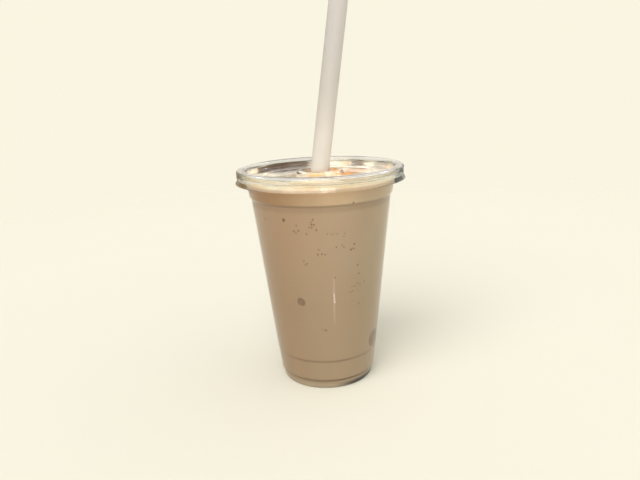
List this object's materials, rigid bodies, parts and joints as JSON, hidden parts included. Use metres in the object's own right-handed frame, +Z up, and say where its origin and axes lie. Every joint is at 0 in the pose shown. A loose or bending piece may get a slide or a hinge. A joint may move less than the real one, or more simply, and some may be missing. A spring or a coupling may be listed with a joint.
{
  "type": "iced cappuccino in a clear lidded cup",
  "caption": "Blended iced cappuccino filling a clear footed plastic cup, with a flat clear snap lid and a wide straw leaning in the lid's port.",
  "frame": {"origin": "centre of the cup's foot ring on the ground, under the middle of the bounding box", "axes": "+Z up along the cup's axis; the straw leans towards +X and a little towards +Y; the pictured side faces -Y"},
  "size_m": [0.1014, 0.1014, 0.2339],
  "materials": {
    "clear_cup": "clear thermoformed plastic, glossy",
    "clear_lid": "clear thermoformed plastic, thin and glossy",
    "straw_plastic": "translucent white plastic, satin",
    "coffee": "blended milky coffee, opaque",
    "froth": "cream froth, matt, with fine bubbles"
  },
  "bodies": {
    "root": {"cup": "clear_cup", "lid": "clear_lid", "straw": "straw_plastic", "coffee": "coffee", "foam": "froth"}
  },
  "joints": []
}
